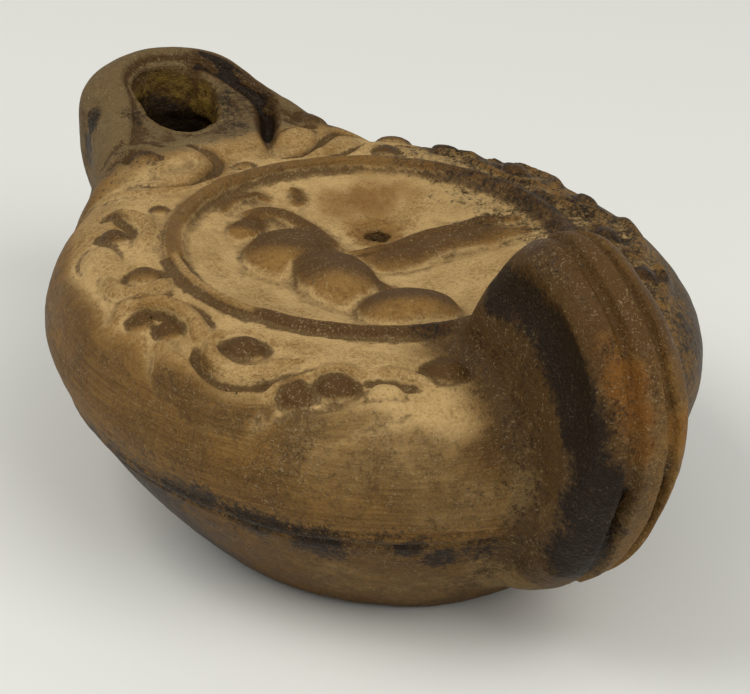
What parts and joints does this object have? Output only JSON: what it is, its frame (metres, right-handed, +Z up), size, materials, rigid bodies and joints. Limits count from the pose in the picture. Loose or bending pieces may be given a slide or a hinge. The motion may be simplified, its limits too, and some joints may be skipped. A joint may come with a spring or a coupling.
{
  "type": "oil lamp",
  "caption": "Round fired-clay oil lamp with sunken relief discus, wick nozzle and solid ribbed fin handle; hollow, one piece.",
  "frame": {"origin": "on the flat underside, straight below the middle of the discus", "axes": "+Z up, +Y towards the wick nozzle, -Y towards the handle, +X to the right seen from the handle"},
  "size_m": [0.076, 0.1146, 0.0499],
  "materials": {
    "fired_clay": "matt, worn and sooty"
  },
  "bodies": {
    "root": {"lamp": "fired_clay"}
  },
  "joints": []
}
